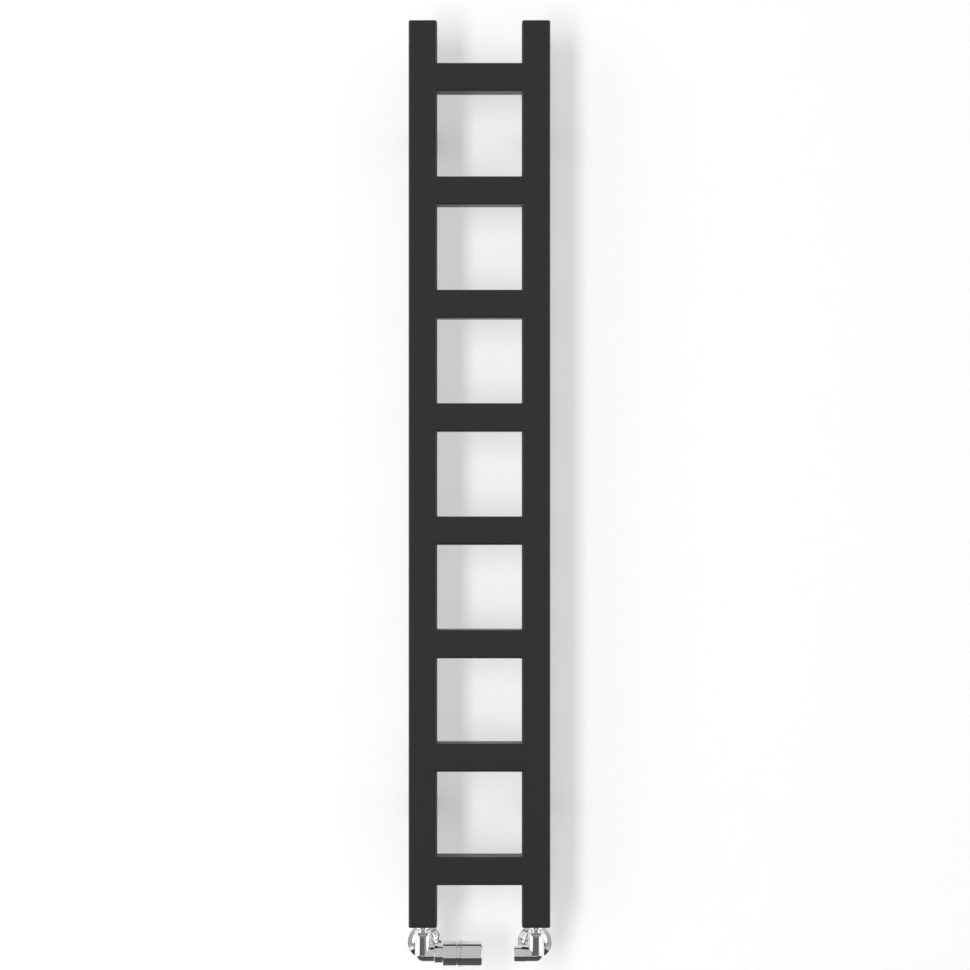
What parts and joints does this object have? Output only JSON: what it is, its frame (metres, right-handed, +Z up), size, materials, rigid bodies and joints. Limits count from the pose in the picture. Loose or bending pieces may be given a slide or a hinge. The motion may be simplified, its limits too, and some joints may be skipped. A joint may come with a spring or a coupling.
{
  "type": "towel warmer rack",
  "caption": "Narrow wall-hung ladder towel warmer of flat black tubes on telescopic wall brackets, with a chrome thermostatic valve and a lockshield valve below.",
  "frame": {"origin": "centre of the rectangle of four wall fixings, on the wall's face", "axes": "+Z up along the uprights, +Y into the wall, +X to the right as seen from the room"},
  "size_m": [0.21, 0.0885, 1.345],
  "materials": {
    "frame_paint": "matt graphite black powder coat",
    "plain_steel": "plain turned steel",
    "chrome": "bright chrome plating on brass",
    "brass": "turned brass",
    "stainless": "ground stainless steel",
    "black_rubber": "moulded black rubber",
    "fibre": "red-brown fibre washer",
    "core_plastic": "moulded white plastic"
  },
  "bodies": {
    "rack": {"left_upright": "frame_paint", "right_upright": "frame_paint", "crossbar_1": "frame_paint", "crossbar_2": "frame_paint", "crossbar_3": "frame_paint", "crossbar_4": "frame_paint", "crossbar_5": "frame_paint", "crossbar_6": "frame_paint", "crossbar_7": "frame_paint", "crossbar_8": "frame_paint", "left_top_cap": "frame_paint", "left_bottom_cap": "frame_paint", "right_top_cap": "frame_paint", "right_bottom_cap": "frame_paint", "upper_left_bracket_cup": "frame_paint", "upper_right_bracket_cup": "frame_paint", "lower_left_bracket_cup": "frame_paint", "lower_right_bracket_cup": "frame_paint", "upper_left_bracket_stem": "frame_paint", "upper_right_bracket_stem": "frame_paint", "lower_left_bracket_stem": "frame_paint", "lower_right_bracket_stem": "frame_paint", "connection_sockets": "plain_steel", "vent_bosses": "plain_steel", "bracket_bosses": "plain_steel", "bracket_grub_screws": "plain_steel", "left_valve_body": "chrome", "right_valve_body": "chrome", "union_nuts": "chrome", "tail_nipples": "chrome", "head_collar_nut": "chrome", "head_base": "chrome", "compression_nuts": "chrome", "cover_sleeves": "chrome", "reducing_bushes": "chrome", "air_vent_body": "chrome", "blank_plug": "chrome", "valve_insert": "brass", "insert_gland": "brass", "lockshield_insert": "brass", "olives": "brass", "spindle_spring": "stainless", "bush_rings": "black_rubber", "insert_ring": "black_rubber", "vent_gaskets": "black_rubber", "tail_gaskets": "fibre", "head_core": "core_plastic"},
    "knob": {"control_knob": "chrome"},
    "plunger": {"sensor_capsule": "brass", "valve_spindle": "stainless", "valve_disc": "black_rubber"},
    "lock_cap": {"lockshield_cap": "chrome"},
    "lock_spindle": {"lockshield_spindle": "brass", "spindle_ring": "black_rubber"},
    "lock_plug": {"lockshield_plug": "brass"},
    "bleed_screw": {"bleed_screw": "stainless"},
    "left_rosette": {"left_rosette": "chrome"},
    "right_rosette": {"right_rosette": "chrome"}
  },
  "joints": [
    {"name": "thermostat_turn", "type": "hinge", "parent": "rack", "child": "knob", "pos_m": [-0.08, -0.07, -0.68], "axis": [1, 0, 0], "range_deg": [-150, 150]},
    {"name": "plunger_slide", "type": "slide", "parent": "rack", "child": "plunger", "axis": [1, 0, 0], "range_m": [-0.0015, 0.0015], "deforming": ["spindle_spring"]},
    {"name": "lockshield_cap_slide", "type": "slide", "parent": "rack", "child": "lock_cap", "axis": [-1, 0, 0], "range_m": [0, 0.03]},
    {"name": "lockshield_turn", "type": "hinge", "parent": "rack", "child": "lock_spindle", "pos_m": [0.08, -0.07, -0.68], "axis": [-1, 0, 0], "range_deg": [-540, 540]},
    {"name": "lockshield_plug_slide", "type": "slide", "parent": "rack", "child": "lock_plug", "axis": [-1, 0, 0], "range_m": [-0.0015, 0.0015]},
    {"name": "bleed_screw_turn", "type": "hinge", "parent": "rack", "child": "bleed_screw", "pos_m": [-0.08, -0.045, 0.615], "axis": [0, 1, 0], "range_deg": [0, 360]},
    {"name": "left_rosette_slide", "type": "slide", "parent": "rack", "child": "left_rosette", "axis": [0, -1, 0], "range_m": [0, 0.02]},
    {"name": "right_rosette_slide", "type": "slide", "parent": "rack", "child": "right_rosette", "axis": [0, -1, 0], "range_m": [0, 0.02]}
  ],
  "couplings": [
    {"joint": "thermostat_turn", "follows": "plunger_slide", "rad_per_m": 1745},
    {"joint": "lockshield_turn", "follows": "lockshield_plug_slide", "rad_per_m": 6283}
  ]
}
